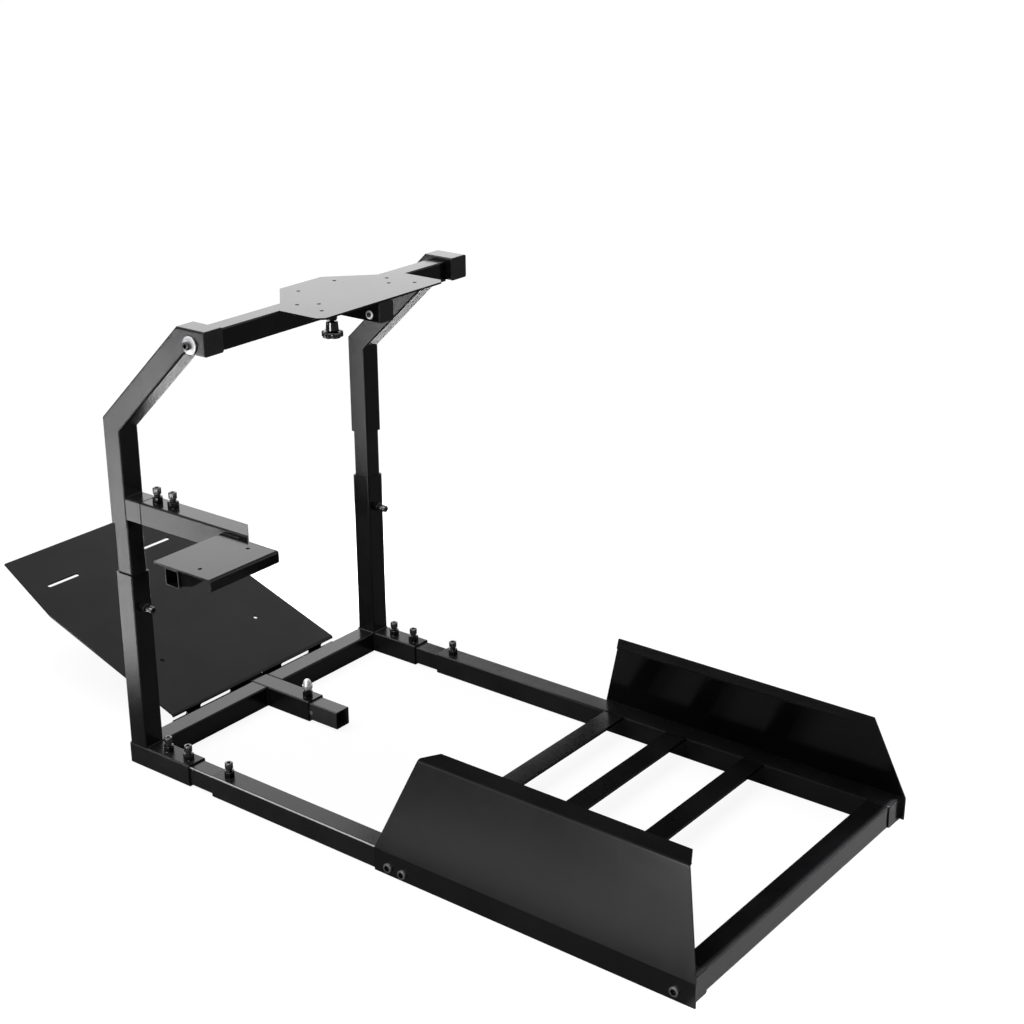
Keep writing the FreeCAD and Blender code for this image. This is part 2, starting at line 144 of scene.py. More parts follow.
def paintEdgeHighlight(tree, place, colour, edgeHighlight):
    # paints a highlight: mixes a light grey into the colour along a rail's outer top edge
    link = tree.links.new
    low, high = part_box(edgeHighlight["node"])
    corner = abs(low[0]) + high[2]
    split = addNode(tree, "SeparateXYZ")
    link(place, split.inputs[0])
    side = addNode(tree, "Math", operation="ABSOLUTE")
    link(split.outputs["X"], side.inputs[0])
    reach = addNode(tree, "Math", operation="ADD")
    link(side.outputs[0], reach.inputs[0])
    link(split.outputs["Z"], reach.inputs[1])
    mix = addNode(tree, "Mix", data_type="RGBA")
    highlightBand = mapRange(tree, reach.outputs[0], corner + edgeHighlight["from"], corner + edgeHighlight["to"])
    link(highlightBand, mix.inputs["Factor"])
    # the colour sockets come after those for numbers and vectors
    link(colour, mix.inputs[6])
    mix.inputs[7].default_value = (*edgeHighlightColour, 1)
    return mix.outputs[2]


def makePaint(name, paint, along=None):
    material, tree, shader, place = newMaterial(name)
    link = tree.links.new
    cloud = noise(tree, place, paint["cloudScale"], detail=4, roughness=0.6)
    colour = tint(tree, cloud, paint["dark"], paint["light"])
    # a painted highlight line along the outer top edge, for the paints that ask for one
    if "edgeHighlight" in paint:
        colour = paintEdgeHighlight(tree, place, colour, paint["edgeHighlight"])
    link(colour, shader.inputs["Base Color"])
    gloss = mapRange(tree, cloud, *noiseBand, *paint["rough"])
    if "rub" in paint:
        stretch = addNode(tree, "Mapping")
        stretch.inputs["Scale"].default_value = slideAlong[along]
        link(place, stretch.inputs["Vector"])
        drag = noise(tree, stretch.outputs["Vector"], 1, detail=3)
        both = addNode(tree, "Math", operation="ADD")
        link(gloss, both.inputs[0])
        link(mapRange(tree, drag, *noiseBand, 0, paint["rub"]), both.inputs[1])
        gloss = both.outputs[0]
    link(gloss, shader.inputs["Roughness"])
    roughen(tree, shader, noise(tree, place, paint["peelScale"], detail=2), paint["peelDepth"])
    shader.inputs["IOR"].default_value = paint["index"]
    return material


capPlastic = {"dark": (0.004, 0.004, 0.0042), "light": (0.008, 0.008, 0.0084), "rough": (0.42, 0.55),
              "index": 1.46, "cloudScale": 60, "grainScale": 900, "grainDepth": 0.00018}
knobPlastic = {"dark": (0.006, 0.006, 0.006), "light": (0.012, 0.012, 0.012), "rough": (0.08, 0.14),
               "index": 1.8, "cloudScale": 60, "grainScale": 500, "grainDepth": 0.00005}


def makePlastic(name, plastic):
    material, tree, shader, place = newMaterial(name)
    link = tree.links.new
    cloud = noise(tree, place, plastic["cloudScale"], detail=3)
    link(tint(tree, cloud, plastic["dark"], plastic["light"]), shader.inputs["Base Color"])
    link(mapRange(tree, cloud, *noiseBand, *plastic["rough"]), shader.inputs["Roughness"])
    roughen(tree, shader, noise(tree, place, plastic["grainScale"], detail=3), plastic["grainDepth"])
    shader.inputs["IOR"].default_value = plastic["index"]
    return material


zincPlate = {"dark": (0.56, 0.57, 0.59), "light": (0.76, 0.77, 0.78), "rough": (0.24, 0.4),
             "cloudScale": 260, "scratchScale": 1500, "scratchDepth": 0.00006}
brightZinc = {"dark": (0.8, 0.81, 0.82), "light": (0.93, 0.93, 0.94), "rough": (0.4, 0.52),
              "cloudScale": 260, "scratchScale": 1500, "scratchDepth": 0.00006}
screwSteel = {"dark": (0.17, 0.17, 0.173), "light": (0.23, 0.23, 0.233), "rough": (0.45, 0.55),
              "cloudScale": 300, "scratchScale": 1500, "scratchDepth": 0.00005}
dullSteel = {"dark": (0.11, 0.11, 0.113), "light": (0.17, 0.17, 0.173), "rough": (0.13, 0.2),
             "cloudScale": 300, "scratchScale": 1500, "scratchDepth": 0.00006}
blackOxide = {"dark": (0.03, 0.03, 0.032), "light": (0.07, 0.07, 0.072), "rough": (0.26, 0.4),
              "cloudScale": 320, "scratchScale": 1300, "scratchDepth": 0.00005}


def makeMetal(name, metal):
    material, tree, shader, place = newMaterial(name)
    link = tree.links.new
    cloud = noise(tree, place, metal["cloudScale"], detail=4)
    link(tint(tree, cloud, metal["dark"], metal["light"]), shader.inputs["Base Color"])
    link(mapRange(tree, cloud, *noiseBand, *metal["rough"]), shader.inputs["Roughness"])
    roughen(tree, shader, noise(tree, place, metal["scratchScale"], detail=2), metal["scratchDepth"])
    shader.inputs["Metallic"].default_value = 1
    return material


paintTube = makePaint("tubePaint", tubePaint)
paintSheet = makePaint("sheetPaint", sheetPaint)
paintRail = makePaint("railPaint", railPaint)
paintCorner = makePaint("cornerPaint", cornerPaint)
paintDull = makePaint("dullPaint", dullPaint)
paintBaseSlide = makePaint("baseSlidePaint", baseSlidePaint, "y")
paintSlide = {along: makePaint("slidePaint_" + along, slidePaint, along) for along in slideAlong}
paintPedalTube = makePaint("pedalTubePaint", pedalTubePaint, "y")
plasticCap = makePlastic("capPlastic", capPlastic)
plasticKnob = makePlastic("knobPlastic", knobPlastic)
metalZinc = makeMetal("zincPlate", zincPlate)
metalBright = makeMetal("brightZinc", brightZinc)
metalScrew = makeMetal("screwSteel", screwSteel)
metalDull = makeMetal("dullSteel", dullSteel)
metalBlack = makeMetal("blackOxide", blackOxide)

# words in a node's name that tell its finish, and tube paint for the rest
nodeFinish = [(("rail_caps",), paintTube), (("caps", "cap"), plasticCap), (("post_slider",), paintSlide["z"]),
              (("base_slider",), paintBaseSlide), (("pedal_tube",), paintPedalTube),
              (("slider",), paintSlide["y"]), (("side_rail",), paintRail), (("corner_tube",), paintCorner),
              (("shifter_gusset", "deck_tube", "saddle"), paintDull),
              (("plate", "bracket", "wheel_deck", "seat_bar", "gusset"), paintSheet), (("bolts",), metalZinc),
              (("knob",), plasticKnob)]
for name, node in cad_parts.items():
    fits = [finish for words, finish in nodeFinish if any(word in name for word in words)]
    for index in range(len(node.data.materials)):
        node.data.materials[index] = fits[0] if fits else paintTube
print("materials on the frame")


mergeDistance = 1e-6


def addPart(shape, part, place, finish=None):
    # stands a finished part at its place in the piece
    bmesh.ops.remove_doubles(part, verts=part.verts, dist=mergeDistance)
    bmesh.ops.recalc_face_normals(part, faces=part.faces)
    bmesh.ops.transform(part, matrix=place, verts=part.verts)
    if finish is not None:
        for face in part.faces:
            face.material_index = finish
    holder = bpy.data.meshes.new("part")
    part.to_mesh(holder)
    part.free()
    shape.from_mesh(holder)
    bpy.data.meshes.remove(holder)


def finishPiece(name, shape, body, materials, sharp=35):
    mesh = bpy.data.meshes.new(name)
    shape.to_mesh(mesh)
    shape.free()
    for material in materials:
        mesh.materials.append(material)
    mesh.shade_smooth()
    mesh.set_sharp_from_angle(angle=math.radians(sharp))
    piece = bpy.data.objects.new(name, mesh)
    bpy.context.scene.collection.objects.link(piece)
    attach(piece, body)
    return piece


def standing(point, up):
    return Matrix.Translation(point) @ Vector(up).to_track_quat("Z", "Y").to_matrix().to_4x4()


def lifted(place, height):
    return place @ Matrix.Translation((0, 0, height))


def turned(outline, steps=40):
    # spins an outline of radius and height about its axis
    part = bmesh.new()
    corners = [part.verts.new((radius, 0, height)) for radius, height in outline]
    edges = [part.edges.new(pair) for pair in zip(corners, corners[1:])]
    bmesh.ops.spin(part, geom=corners + edges, cent=(0, 0, 0), axis=(0, 0, 1), angle=math.tau,
                   steps=steps, use_merge=True)
    return part


def raiseFace(part, face, rise, scale=1.0, keepBase=False):
    if keepBase:
        grown = bmesh.ops.extrude_face_region(part, geom=[face])["geom"]
        top = [item for item in grown if isinstance(item, bmesh.types.BMFace)][0]
    else:
        top = bmesh.ops.extrude_discrete_faces(part, faces=[face])["faces"][0]
    bmesh.ops.translate(part, vec=(0, 0, rise), verts=top.verts)
    bmesh.ops.scale(part, vec=(scale, scale, 1), verts=top.verts)
    return top


def hexBlock(flats, height, chamfer):
    part = bmesh.new()
    bmesh.ops.create_circle(part, cap_ends=True, segments=6, radius=flats / 2 / math.cos(math.pi / 6))
    part.faces.ensure_lookup_table()
    raiseFace(part, part.faces[0], height, keepBase=True)
    bmesh.ops.bevel(part, geom=part.edges[:], offset=chamfer, affect="EDGES", segments=2, profile=0.5,
                    material=-1)
    return part


def hexReach(angle, flats):
    return flats / 2 / math.cos(angle % (math.pi / 3) - math.pi / 6)


# how a socket head's rim rolls over, how wide its land is and how its socket narrows
headForm = {"roll": 0.7, "land": 0.5, "taper": 0.92}


def socketHead(head, side, hollow):
    # a knurled cap with a rounded rim and a six-sided socket
    part = bmesh.new()
    ring = bmesh.ops.create_circle(part, cap_ends=True, segments=head["knurls"] * 2, radius=head["radius"])
    for vert in ring["verts"][::2]:
        vert.co *= 1 - head["knurlDepth"] / head["radius"]
    part.faces.ensure_lookup_table()
    rim, roll = head["rim"], headForm["roll"]
    top = raiseFace(part, part.faces[0], head["height"] - rim, keepBase=True)
    top = raiseFace(part, top, rim * roll, 1 - (1 - roll) * rim / head["radius"])
    top = raiseFace(part, top, rim * (1 - roll), 1 - roll * rim / head["radius"])
    for face in part.faces:
        face.material_index = side
    bmesh.ops.inset_region(part, faces=[top], thickness=rim * headForm["land"])
    for vert in top.verts:
        reach = hexReach(math.atan2(vert.co.y, vert.co.x), head["socket"])
        vert.co.xy = vert.co.xy.normalized() * reach
    floor = raiseFace(part, top, -head["socketDepth"], headForm["taper"])
    floor.material_index = hollow
    for edge in floor.edges:
        for face in edge.link_faces:
            face.material_index = hollow
    return part


def thread(radius, depth, length, pitch):
    outline = [(0, 0)]
    for turn in range(round(length / pitch)):
        outline += [(radius - depth, turn * pitch), (radius, (turn + 0.5) * pitch)]
    outline += [(radius - depth, length), (0, length)]
    return turned(outline, steps=24)


def dome(radius, height, steps):
    # a quarter ellipse, turned about its axis
    quarter = [math.pi / 2 * step / steps for step in range(steps + 1)]
    return turned([(0, 0)] + [(radius * math.cos(angle), height * math.sin(angle)) for angle in quarter])


# clamp bolts: a welded nut, a stretch of thread and a knurled socket head
clampBolt = {"nutFlats": 0.016, "nutHeight": 0.0097, "nutChamfer": 0.0007, "threadRadius": 0.0052,
             "threadDepth": 0.0005, "threadLength": 0.005, "threadPitch": 0.00125,
             "head": {"radius": 0.0066, "height": 0.0098, "rim": 0.0012, "knurls": 30, "knurlDepth": 0.00025,
                      "socket": 0.0062, "socketDepth": 0.0045},
             "weldRadius": 0.0013}
# round weld beads at the foot of a nut
weldSpot = {"count": 3, "first": 0.25, "shape": (1.6, 0.9, 0.5)}


def addWeldSpots(shape, place, bolt, finish):
    for spot in range(weldSpot["count"]):
        angle = math.tau * (spot + weldSpot["first"]) / weldSpot["count"]
        bead = bmesh.new()
        bmesh.ops.create_icosphere(bead, subdivisions=2, radius=bolt["weldRadius"])
        bmesh.ops.scale(bead, vec=weldSpot["shape"], verts=bead.verts)
        reach = Matrix.Translation((0, bolt["nutFlats"] / 2, 0))
        addPart(shape, bead, place @ Matrix.Rotation(angle, 4, "Z") @ reach, finish)


def makeClampBolt(name, body, point, up, bolt, materials, turn=0, weldFinish=0):
    shape = bmesh.new()
    place = standing(point, up) @ Matrix.Rotation(math.radians(turn), 4, "Z")
    addPart(shape, hexBlock(bolt["nutFlats"], bolt["nutHeight"], bolt["nutChamfer"]), place, 0)
    if weldFinish is not None:
        addWeldSpots(shape, place, bolt, weldFinish)
    shank = thread(bolt["threadRadius"], bolt["threadDepth"], bolt["threadLength"], bolt["threadPitch"])
    addPart(shape, shank, lifted(place, bolt["nutHeight"]), 1)
    headFoot = bolt["nutHeight"] + bolt["threadLength"]
    addPart(shape, socketHead(bolt["head"], 2, 1), lifted(place, headFoot))
    finishPiece(name, shape, body, materials)


clampMaterials = [paintTube, metalBlack, metalDull]
clampPlaces = {
    "corner": {"node": "corner_tube_", "body": "front_frame", "back": (-0.0535, -0.1005), "welds": 2},
    "rail": {"node": "side_rail_", "body": "rear_frame", "back": (-0.195,), "welds": None},
    "shifter": {"node": "shifter_arm", "body": "shifter_mount", "back": (-0.074, -0.1095), "welds": 2},
}
clampTurn = {"first": 20, "step": 25}  # the nuts of a pair stand at different angles


def makeClampBolts(rows):
    for word, row in rows.items():
        sides = ("left", "right") if row["node"].endswith("_") else ("",)
        for side in sides:
            low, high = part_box(row["node"] + side)
            for number, y in enumerate(row["back"]):
                name = "clampBolt_" + "_".join(filter(None, (word, side, str(number + 1))))
                point = ((low[0] + high[0]) / 2, y, high[2])
                makeClampBolt(name, row["body"], point, (0, 0, 1), clampBolt, clampMaterials,
                              clampTurn["first"] + clampTurn["step"] * number, row["welds"])


makeClampBolts(clampPlaces)

# the pedal clamp has a bright domed nut on a thick neck
pedalClamp = {"back": -0.099, "nutFlats": 0.016, "nutHeight": 0.0095, "nutChamfer": 0.0007,
              "neck": 0.0066, "neckLength": 0.004, "neckDepth": 0.0005, "neckPitch": 0.001,
              "capFlats": 0.0165, "capHeight": 0.0085,
              "domeRadius": 0.0077, "domeHeight": 0.0105, "domeSteps": 10, "weldRadius": 0.0018}


def makePedalClamp(clamp):
    low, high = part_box("pedal_receiver")
    place = standing(((low[0] + high[0]) / 2, clamp["back"], high[2]), (0, 0, 1))
    shape = bmesh.new()
    addPart(shape, hexBlock(clamp["nutFlats"], clamp["nutHeight"], clamp["nutChamfer"]), place, 0)
    addWeldSpots(shape, place, clamp, 0)
    height = clamp["nutHeight"]
    neck = thread(clamp["neck"], clamp["neckDepth"], clamp["neckLength"], clamp["neckPitch"])
    addPart(shape, neck, lifted(place, height), 1)
    height += clamp["neckLength"]
    cap = hexBlock(clamp["capFlats"], clamp["capHeight"], clamp["nutChamfer"])
    addPart(shape, cap, lifted(place, height), 2)
    height += clamp["capHeight"]
    crown = dome(clamp["domeRadius"], clamp["domeHeight"], clamp["domeSteps"])
    addPart(shape, crown, lifted(place, height), 2)
    finishPiece("pedalClampBolt", shape, "front_frame", [paintTube, metalBlack, metalBright])


makePedalClamp(pedalClamp)

# black set bolts on the rear of the lower posts
setBolt = {"height": 0.2865, "turn": 10, "nutFlats": 0.0145, "nutHeight": 0.008, "nutChamfer": 0.0006,
           "threadRadius": 0.0039, "threadDepth": 0.0005, "threadLength": 0.005, "threadPitch": 0.001,
           "head": {"radius": 0.0062, "height": 0.011, "rim": 0.001, "knurls": 26, "knurlDepth": 0.0002,
                    "socket": 0.005, "socketDepth": 0.004},
           "weldRadius": 0.0015}
for side in ("left", "right"):
    postLow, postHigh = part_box("lower_post_" + side)
    setPoint = ((postLow[0] + postHigh[0]) / 2, postLow[1], setBolt["height"])
    makeClampBolt("setBolt_" + side, "front_frame", setPoint, (0, -1, 0), setBolt, clampMaterials,
                  setBolt["turn"])

# cap screws that hold each seat bracket's strip to its rail
bracketScrew = {"spots": ((-0.5506, 0.0132), (-0.578, 0.0118), (-1.0545, 0.0148)),
                "head": {"radius": 0.0075, "height": 0.0042, "rim": 0.0009, "knurls": 30,
                         "knurlDepth": 0.00015, "socket": 0.0088, "socketDepth": 0.0034}}


def makeBracketScrews(screw):
    for side, sign in (("left", -1), ("right", 1)):
        low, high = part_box("seat_bracket_" + side)
        face = low[0] if sign < 0 else high[0]
        shape = bmesh.new()
        for y, z in screw["spots"]:
            place = standing((face, y, z), (sign, 0, 0))
            addPart(shape, socketHead(screw["head"], 0, 1), place)
        finishPiece("bracketScrews_" + side, shape, "rear_frame", [metalScrew, metalBlack])


makeBracketScrews(bracketScrew)

# a washer and button screw on each side of the deck tube
deckScrew = {"back": -0.2897, "height": 0.757, "washerRadius": 0.007, "washerHole": 0.0028,
             "washerThick": 0.0013, "washerRim": 0.0004,
             "head": {"radius": 0.0038, "height": 0.0024, "rim": 0.0008, "knurls": 24, "knurlDepth": 0.00005,
                      "socket": 0.0036, "socketDepth": 0.0015}}


# how a washer's rim is shared between its foot, its side and its rounded top edge
washerForm = {"footIn": 0.4, "footUp": 0.6, "crown": 0.3}


def washer(radius, hole, thick, rim):
    crown = rim * washerForm["crown"]
    outline = [(hole, 0), (radius - rim * washerForm["footIn"], 0), (radius, rim * washerForm["footUp"]),
               (radius, thick - rim), (radius - crown, thick - crown), (radius - rim, thick),
               (hole, thick), (hole, 0)]
    return turned(outline, steps=56)


def makeDeckScrews(screw):
    low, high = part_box("deck_tube")
    for side, sign in (("left", -1), ("right", 1)):
        place = standing((low[0] if sign < 0 else high[0], screw["back"], screw["height"]), (sign, 0, 0))
        shape = bmesh.new()
        ring = washer(screw["washerRadius"], screw["washerHole"], screw["washerThick"], screw["washerRim"])
        addPart(shape, ring, place, 0)
        addPart(shape, socketHead(screw["head"], 1, 1), lifted(place, screw["washerThick"]))
        finishPiece("deckScrew_" + side, shape, "wheel_deck", [metalBright, metalBlack])


makeDeckScrews(deckScrew)

# the tilt bolts with their wide bright washers, in place of the frame's plain ones
tiltBolt = {"washerThick": 0.0025, "washerHole": 0.0045, "washerRim": 0.0007,
            "shankRadius": 0.005, "shank": 0.047,
            "head": {"radius": 0.0065, "height": 0.008, "rim": 0.0011, "knurls": 30, "knurlDepth": 0.00025,
                     "socket": 0.0066, "socketDepth": 0.005}}


def makeTiltBolts(bolt):
    low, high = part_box("tilt_bolts")
    y, z = (low[1] + high[1]) / 2, (low[2] + high[2]) / 2
    radius = (high[2] - low[2]) / 2
    reach = bolt["washerThick"] + bolt["head"]["height"]
    shape = bmesh.new()
    for end, sign in ((low[0] + reach, -1), (high[0] - reach, 1)):
        place = standing((end, y, z), (sign, 0, 0))
        addPart(shape, washer(radius, bolt["washerHole"], bolt["washerThick"], bolt["washerRim"]), place, 0)
        addPart(shape, socketHead(bolt["head"], 1, 2), lifted(place, bolt["washerThick"]))
        shank = [(0, -bolt["shank"]), (bolt["shankRadius"], -bolt["shank"]), (bolt["shankRadius"], 0), (0, 0)]
        addPart(shape, turned(shank), place, 1)
    piece = finishPiece("tiltBolts", shape, "wheel_bar", [metalBright, metalDull, metalBlack])
    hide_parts("tilt_bolts")


makeTiltBolts(tiltBolt)
print("bolts and screws made")

# lobed clamp knob on a stud, and the nut that the stud runs in
clampKnob = {"lobes": 5, "points": 120, "gripRadius": 0.0173, "lobeDepth": 0.0028, "gripHeight": 0.01,
             "round": 0.0016, "roll": 0.3, "hubRadius": 0.0105, "hubTop": 0.0092, "hubHeight": 0.016,
             "hubFlare": 1.12, "hubShoulder": 1.04, "hubCrown": 0.94, "flareRise": 0.0006, "hubRise": 0.0012,
             "studRadius": 0.004, "studDepth": 0.0004, "studPitch": 0.00125, "studSunk": 0.0015,
             "nutFlats": 0.0165, "nutHeight": 0.0125, "nutChamfer": 0.001, "sharp": 30}


def lobedRing(face, knob, radius):
    for vert in face.verts:
        angle = math.atan2(vert.co.y, vert.co.x)
        dent = max(0, -math.cos(knob["lobes"] * angle))
        vert.co.xy = vert.co.xy.normalized() * (radius - knob["lobeDepth"] * dent)


def makeKnob(knob):
    low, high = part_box("deck_knob")
    base = standing(((low[0] + high[0]) / 2, (low[1] + high[1]) / 2, low[2]), (0, 0, 1))
    part = bmesh.new()
    bmesh.ops.create_circle(part, cap_ends=True, segments=knob["points"], radius=knob["gripRadius"])
    part.faces.ensure_lookup_table()
    edge, top = knob["round"], part.faces[0]
    lobedRing(top, knob, knob["gripRadius"] - edge)
    roll, rest = edge * knob["roll"], edge * (1 - knob["roll"])
    steps = ((roll, roll), (rest, 0), (knob["gripHeight"] - 2 * edge, 0), (rest, roll), (roll, edge))
    for number, (rise, pull) in enumerate(steps):
        top = raiseFace(part, top, rise, keepBase=number == 0)
        lobedRing(top, knob, knob["gripRadius"] - pull)
    flare, step = knob["flareRise"], knob["hubRise"]
    hub = ((flare, knob["hubRadius"] * knob["hubFlare"]), (step, knob["hubRadius"]),
           (knob["hubHeight"] - flare - 2 * step, knob["hubTop"] * knob["hubShoulder"]),
           (step, knob["hubTop"] * knob["hubCrown"]))
    for rise, radius in hub:
        top = raiseFace(part, top, rise)
        for vert in top.verts:
            vert.co.xy = vert.co.xy.normalized() * radius
    shape = bmesh.new()
    addPart(shape, part, base, 0)
    hubTop = knob["gripHeight"] + knob["hubHeight"] - knob["studSunk"]
    stud = thread(knob["studRadius"], knob["studDepth"], high[2] - low[2] - hubTop, knob["studPitch"])
    addPart(shape, stud, lifted(base, hubTop), 1)
    piece = finishPiece("clampKnob", shape, "wheel_bar", [plasticKnob, metalBlack],
                        knob["sharp"])
    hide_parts("deck_knob")
    nut = bmesh.new()
    saddleLow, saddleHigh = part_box("deck_saddle")
    under = standing(((saddleLow[0] + saddleHigh[0]) / 2, (saddleLow[1] + saddleHigh[1]) / 2, saddleLow[2]),
                     (0, 0, -1))
    addPart(nut, hexBlock(knob["nutFlats"], knob["nutHeight"], knob["nutChamfer"]), under, 0)
    finishPiece("saddleNut", nut, "wheel_bar", [paintTube])


makeKnob(clampKnob)

# a low rivet on the pedal tube's left face, thin enough to pass inside the receiver
slideRivet = {"back": -0.1195, "height": 0.0168, "radius": 0.0041, "dome": 0.00042, "domeSteps": 8}


def makeSlideRivet(rivet):
    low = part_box("pedal_tube")[0]
    place = standing((low[0], rivet["back"], rivet["height"]), (-1, 0, 0))
    shape = bmesh.new()
    addPart(shape, dome(rivet["radius"], rivet["dome"], rivet["domeSteps"]), place, 0)
    finishPiece("slideRivet", shape, "pedal_deck", [metalZinc])


makeSlideRivet(slideRivet)
print("knob and rivet made")

# rippled weld beads along the joints, under the same paint
weldBead = {"radius": 0.0019, "pitch": 0.0026, "sides": 10, "narrow": 0.84, "sunk": 0.0009, "sharp": 60}
# how far from an edge a bead starts or stops
beadStop = {"tip": 0.001, "end": 0.002, "corner": 0.003, "barFoot": 0.004, "armMitre": 0.018}


def addBead(shape, start, end, bead):
    start, end = Vector(start), Vector(end)
    along = end - start
    ripples = max(2, round(along.length / bead["pitch"]))
    part = bmesh.new()
    bmesh.ops.create_circle(part, cap_ends=True, segments=bead["sides"], radius=bead["radius"])
    part.faces.ensure_lookup_table()
    top = part.faces[0]
    bmesh.ops.scale(part, vec=(bead["narrow"], bead["narrow"], 1), verts=top.verts)
    half = along.length / ripples / 2
    for step in range(2 * ripples):
        swell = 1 / bead["narrow"] if step % 2 == 0 else bead["narrow"]
        top = raiseFace(part, top, half, swell, keepBase=step == 0)
    addPart(shape, part, standing(start, along.normalized()), 0)


def frontBeads():
    crossLow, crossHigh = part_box("front_cross_left")
    postLow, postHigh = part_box("lower_post_left")
    rear, top, floor = crossLow[1], crossHigh[2], crossLow[2]
    tip, end, corner = beadStop["tip"], beadStop["end"], beadStop["corner"]
    flat = top - weldBead["sunk"]
    for sign in (-1, 1):
        for x in (sign * abs(crossLow[0]), sign * abs(crossHigh[0])):
            yield (x, rear, floor + corner), (x, rear, top - end)
            yield (x, rear, flat), (x, crossHigh[1] - end, flat)
        inner, outer = sign * abs(postHigh[0]), sign * abs(postLow[0])
        yield (inner - sign * tip, postLow[1], postLow[2]), (outer - sign * end, postLow[1], postLow[2])


def rearBeads():
    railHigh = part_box("side_rail_left")[1]
    crossLow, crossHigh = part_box("rear_cross")
    flat = railHigh[2] - weldBead["sunk"]
    tip, end, corner = beadStop["tip"], beadStop["end"], beadStop["corner"]
    for sign in (-1, 1):
        x = sign * abs(railHigh[0])
        yield (x, crossHigh[1], crossLow[2] + corner), (x, crossHigh[1], crossHigh[2] - end)
        yield (x, crossLow[1] + end, flat), (x, crossHigh[1], flat)
        for bar in ("front", "middle", "rear"):
            low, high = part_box("seat_bar_" + bar)
            for z in (flat, low[2]):
                yield (x, low[1] + tip, z), (x, high[1] - tip, z)


def standBeads():
    low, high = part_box("shifter_stub")
    for z in (low[2], high[2]):
        yield (low[0] + beadStop["corner"], high[1], z), (high[0] - beadStop["corner"], high[1], z)


def shifterBeads():
    low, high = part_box("shifter_cross")
    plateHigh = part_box("shifter_plate")[1]
    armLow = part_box("shifter_arm")[0]
    x, rise = armLow[0], plateHigh[2]
    yield (x, armLow[1] + beadStop["armMitre"], rise), (x, plateHigh[1] - beadStop["tip"], rise)
    yield (x, high[1], low[2] + beadStop["end"]), (x, high[1], high[2])


def barBeads():
    low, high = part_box("wheel_bar_left")
    for sign in (-1, 1):
        x = sign * abs(high[0])
        for y in (low[1], high[1]):
            yield (x, y, low[2] + beadStop["barFoot"]), (x, y, high[2] - beadStop["corner"])


def makeWelds(name, body, seams):
    shape = bmesh.new()
    for start, end in seams:
        addBead(shape, start, end, weldBead)
    finishPiece(name, shape, body, [paintTube], weldBead["sharp"])


makeWelds("frontWelds", "front_frame", frontBeads())
makeWelds("rearWelds", "rear_frame", rearBeads())
makeWelds("standWelds", "wheel_stand", standBeads())
makeWelds("shifterWelds", "shifter_mount", shifterBeads())
makeWelds("barWelds", "wheel_bar", barBeads())
print("weld beads made")

# floor: white to the camera, and lit by the lamps for everything else
floorLook = {"reach": 40, "drop": 0.0005, "colour": (0.13, 0.13, 0.13), "cameraWhite": 0.91,
             "glossWhite": 0.04}


def lightPathWeight(tree, seen, shiny):
    link = tree.links.new
    path = addNode(tree, "LightPath")
    mirrored = addNode(tree, "Math", operation="MAXIMUM")
    link(path.outputs["Is Glossy Ray"], mirrored.inputs[0])
    link(path.outputs["Is Transmission Ray"], mirrored.inputs[1])
    mirrorShare = addNode(tree, "Math", operation="MULTIPLY")
    link(mirrored.outputs[0], mirrorShare.inputs[0])
    mirrorShare.inputs[1].default_value = shiny
    seenShare = addNode(tree, "Math", operation="MULTIPLY")
    link(path.outputs["Is Camera Ray"], seenShare.inputs[0])
    seenShare.inputs[1].default_value = seen
    weight = addNode(tree, "Math", operation="MAXIMUM")
    link(mirrorShare.outputs[0], weight.inputs[0])
    link(seenShare.outputs[0], weight.inputs[1])
    return mirrorShare, weight


def makeFloor(look):
    mesh = bpy.data.meshes.new("floor")
    shape = bmesh.new()
    bmesh.ops.create_grid(shape, x_segments=1, y_segments=1, size=look["reach"])
    shape.to_mesh(mesh)
    shape.free()
    floor = bpy.data.objects.new("floor", mesh)
    bpy.context.scene.collection.objects.link(floor)
    floor.location.z = cadLow.z - look["drop"]
    material, tree = emptyMaterial("floorWhite")
    link = tree.links.new
    weight = lightPathWeight(tree, look["cameraWhite"], look["glossWhite"])[1]
    glow = addNode(tree, "Emission")
    link(weight.outputs[0], glow.inputs["Strength"])
    lit = addNode(tree, "BsdfDiffuse", Color=(*look["colour"], 1))
    both = addNode(tree, "AddShader")
    link(glow.outputs[0], both.inputs[0])
    link(lit.outputs[0], both.inputs[1])
    output = addNode(tree, "OutputMaterial")
    link(both.outputs[0], output.inputs["Surface"])
    mesh.materials.append(material)


makeFloor(floorLook)

# black cards that only the paint mirrors: one over the seat bars and one ahead of it over the right rail
seatCard = {"rise": 0.045, "front": 0.215, "side": 0.26, "railIn": 0.235, "railOut": 0.38,
            "railFront": 0.72, "colour": (0.002, 0.002, 0.002)}


